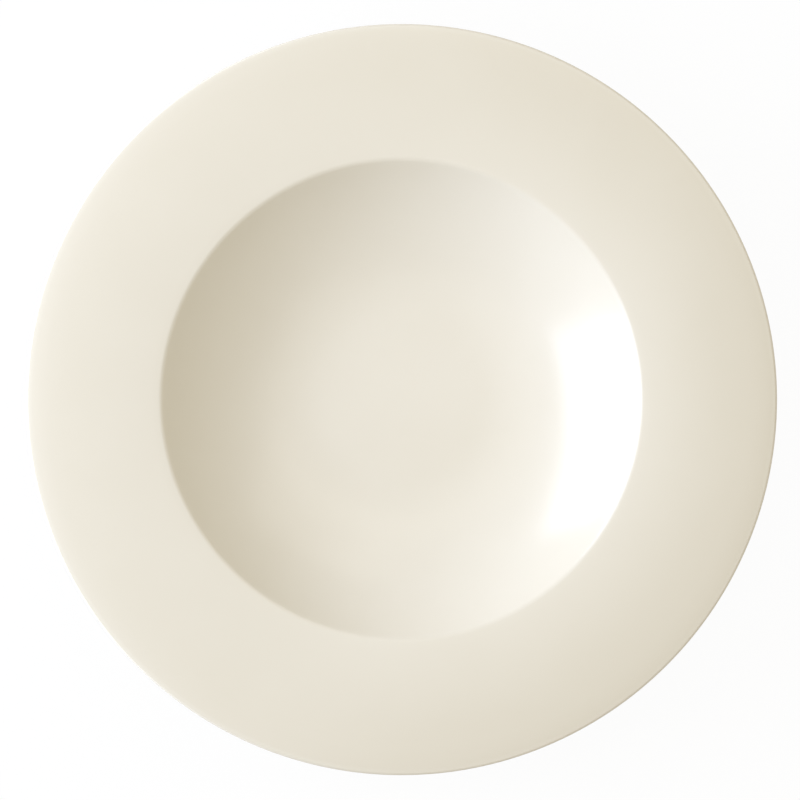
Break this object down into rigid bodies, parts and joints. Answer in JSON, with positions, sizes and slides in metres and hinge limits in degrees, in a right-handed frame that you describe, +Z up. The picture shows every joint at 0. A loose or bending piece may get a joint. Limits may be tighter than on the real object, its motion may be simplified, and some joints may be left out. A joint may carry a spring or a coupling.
{
  "type": "pasta plate",
  "caption": "Round ivory porcelain pasta plate with a wide, softly crowned rim, a deep curved well and a low foot ring that is bare where it stands on the table.",
  "frame": {"origin": "centre of the circle on which the foot ring stands, on the table", "axes": "+Z up along the plate's axis of revolution; X and Y are free, because the plate is round"},
  "size_m": [0.3, 0.3, 0.0397],
  "materials": {
    "porcelain": "matte",
    "ivory_glaze": "gloss"
  },
  "bodies": {
    "root": {"porcelain_body": "porcelain", "glaze_coat": "ivory_glaze", "base_glaze": "ivory_glaze"}
  },
  "joints": []
}
